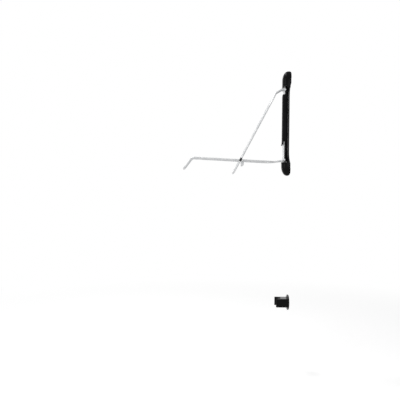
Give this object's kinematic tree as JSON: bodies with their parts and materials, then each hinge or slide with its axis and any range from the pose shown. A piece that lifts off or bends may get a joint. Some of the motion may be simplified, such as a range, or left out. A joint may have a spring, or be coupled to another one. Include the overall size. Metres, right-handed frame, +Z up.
{
  "type": "bicycle wall rack",
  "caption": "Wall rack that holds a bicycle upright by its front wheel on two folding wire arms, on a post that swings left and right, with a rear tyre rest.",
  "frame": {"origin": "upper foot's back face, on the wall, midway between its two screws", "axes": "+Z up, +Y into the wall, +X along the wall to the right as seen from the room"},
  "size_m": [0.1202, 0.63, 1.407],
  "materials": {
    "powder_coat": "satin",
    "black_steel": "satin",
    "gloss_black": "gloss",
    "satin_black": "satin",
    "acetal": "satin",
    "zinc_steel": "satin",
    "rubber": "matte"
  },
  "bodies": {
    "wall_mount": {"wall_plate": "black_steel", "upper_bracket": "black_steel", "lower_bracket": "black_steel", "upper_cap": "gloss_black", "lower_cap": "gloss_black", "upper_bush": "acetal", "lower_bush": "acetal", "wall_screw_1": "zinc_steel", "wall_screw_2": "zinc_steel", "wall_screw_3": "zinc_steel", "wall_screw_4": "zinc_steel", "tyre_rest": "gloss_black", "tyre_rest_screw_upper": "zinc_steel", "tyre_rest_screw_lower": "zinc_steel"},
    "swing_post": {"pivot_tube": "powder_coat", "thrust_washer": "zinc_steel", "thrust_collar": "black_steel", "retaining_clip": "zinc_steel", "front_cover": "satin_black", "back_cover": "satin_black", "cover_screw_upper": "zinc_steel", "cover_screw_lower": "zinc_steel", "upper_hinge_bolt": "zinc_steel", "upper_hinge_nut": "zinc_steel", "lower_hinge_bolt": "zinc_steel", "lower_hinge_nut": "zinc_steel"},
    "upper_arm": {"upper_arm_wire": "powder_coat", "upper_arm_bush_left": "acetal", "upper_arm_bush_right": "acetal", "upper_arm_sleeve_left": "rubber", "upper_arm_sleeve_right": "rubber"},
    "lower_arm": {"lower_arm_wire": "powder_coat", "lower_arm_bush_left": "acetal", "lower_arm_bush_right": "acetal"}
  },
  "joints": [
    {"name": "swing", "type": "hinge", "parent": "wall_mount", "child": "swing_post", "pos_m": [0, -0.036, -0.27], "axis": [0, 0, 1], "range_deg": [-75, 75]},
    {"name": "lower_arm_fold", "type": "hinge", "parent": "swing_post", "child": "lower_arm", "pos_m": [0, -0.036, -0.484], "axis": [-1, 0, 0], "range_deg": [0, 80]},
    {"name": "upper_arm_fold", "type": "hinge", "parent": "swing_post", "child": "upper_arm", "pos_m": [0, -0.036, -0.072], "axis": [1, 0, 0], "range_deg": [0, 28]}
  ],
  "couplings": [
    {"joint": "upper_arm_fold", "follows": "lower_arm_fold", "ratio": 0.345}
  ]
}
